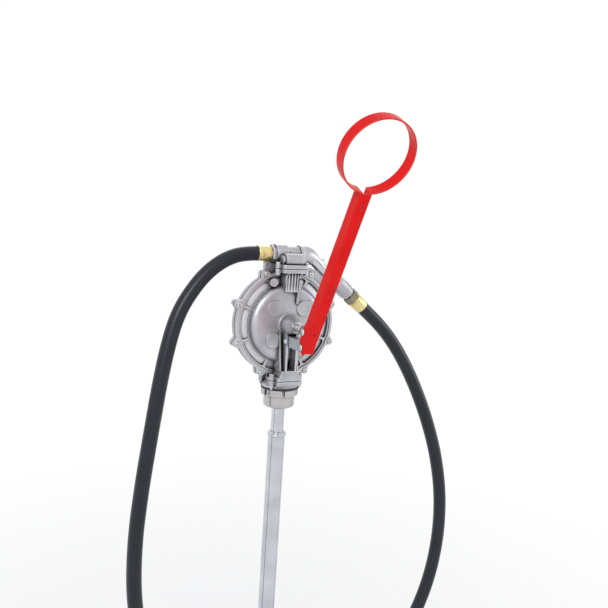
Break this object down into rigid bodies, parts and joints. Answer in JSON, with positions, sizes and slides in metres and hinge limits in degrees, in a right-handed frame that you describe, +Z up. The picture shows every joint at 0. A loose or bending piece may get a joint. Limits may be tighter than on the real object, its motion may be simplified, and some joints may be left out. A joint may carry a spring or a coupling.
{
  "type": "double diaphragm pump",
  "caption": "Hand lever double diaphragm transfer pump: round ribbed cast covers, rod and link drive, telescoping suction pipe and a black hose back to a parked spout.",
  "frame": {"origin": "centre of the seat under the bung's hand ring, where the pump stands on the tank's filling opening", "axes": "+Z up along the suction pipe, -Y towards the lever side, +X towards the elbow and spout side"},
  "size_m": [0.7051, 0.3631, 1.2195],
  "materials": {
    "cast_alloy": "satin, as cast and tumbled",
    "diaphragm_rubber": "matt",
    "gasket_rubber": "matt",
    "bright_steel": "bright turned",
    "pin_steel": "zinc plated",
    "plated_steel": "bright plated",
    "link_steel": "satin grey",
    "brass": "polished",
    "dull_brass": "dull",
    "bung_alloy": "satin, as cast",
    "foot_plastic": "matt",
    "hose_rubber": "satin",
    "lever_paint": "gloss powder coat"
  },
  "bodies": {
    "pump_body": {"front_cover": "cast_alloy", "rear_cover": "cast_alloy", "front_diaphragm": "diaphragm_rubber", "rear_diaphragm": "diaphragm_rubber", "shaft_gland": "bright_steel", "bracket_pin": "bright_steel", "outlet_manifold": "cast_alloy", "outlet_elbow": "cast_alloy", "outlet_nut": "cast_alloy", "outlet_ferrule": "brass", "inlet_casting": "cast_alloy", "top_front_gasket": "gasket_rubber", "top_rear_gasket": "gasket_rubber", "bottom_front_gasket": "gasket_rubber", "bottom_rear_gasket": "gasket_rubber", "bung_gasket": "gasket_rubber", "bung_adapter": "bung_alloy", "suction_pipe": "plated_steel", "tube_nut": "plated_steel", "lower_tube": "plated_steel", "suction_foot": "foot_plastic", "spout_tube": "plated_steel", "spout_fitting": "cast_alloy", "spout_collar": "dull_brass", "spout_ferrule": "brass", "hose": "hose_rubber"},
    "rod": {"rod": "bright_steel", "rod_nut": "bright_steel"},
    "lever": {"lever_channel": "lever_paint", "lever_grip": "lever_paint", "upper_pin": "pin_steel", "lower_pin": "pin_steel"},
    "link": {"link": "link_steel"}
  },
  "joints": [
    {"name": "rod_slide", "type": "slide", "parent": "pump_body", "child": "rod", "axis": [0, 1, 0], "range_m": [0, 0.0174]},
    {"name": "lever_swing", "type": "hinge", "parent": "rod", "child": "lever", "pos_m": [0, -0.1028, 0.137], "axis": [-1, 0, 0], "range_deg": [0, 35]},
    {"name": "link_rock", "type": "hinge", "parent": "lever", "child": "link", "pos_m": [0, -0.0983, 0.10825], "axis": [-1, 0, 0], "range_deg": [-33, 0]}
  ],
  "couplings": [
    {"joint": "rod_slide", "follows": "lever_swing", "m_per_rad": 0.0283},
    {"joint": "link_rock", "follows": "lever_swing", "ratio": -0.9285}
  ]
}
